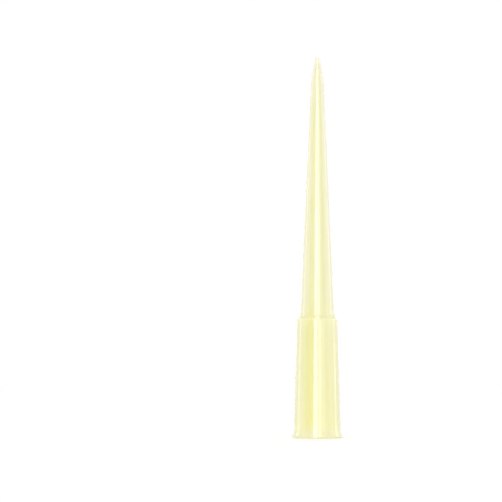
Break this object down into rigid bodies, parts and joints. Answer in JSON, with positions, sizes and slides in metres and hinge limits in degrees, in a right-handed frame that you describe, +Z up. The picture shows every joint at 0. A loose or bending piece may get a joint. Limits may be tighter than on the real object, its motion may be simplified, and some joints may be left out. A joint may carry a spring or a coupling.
{
  "type": "pipette tip",
  "caption": "Slim tapered pipette tip in translucent pale yellow plastic, with a wider collar, a flared lip round its open mouth and a bevelled open point.",
  "frame": {"origin": "centre of the mouth's rim, in the plane that the tip stands on", "axes": "+Z up along the axis, from the mouth to the point; the tip is turned about Z, so X and Y are alike"},
  "size_m": [0.0068, 0.0068, 0.051],
  "materials": {
    "yellow_polypropylene": "translucent pale yellow polypropylene, smooth as moulded, with a soft satin gloss"
  },
  "bodies": {
    "root": {"tip_body": "yellow_polypropylene"}
  },
  "joints": []
}
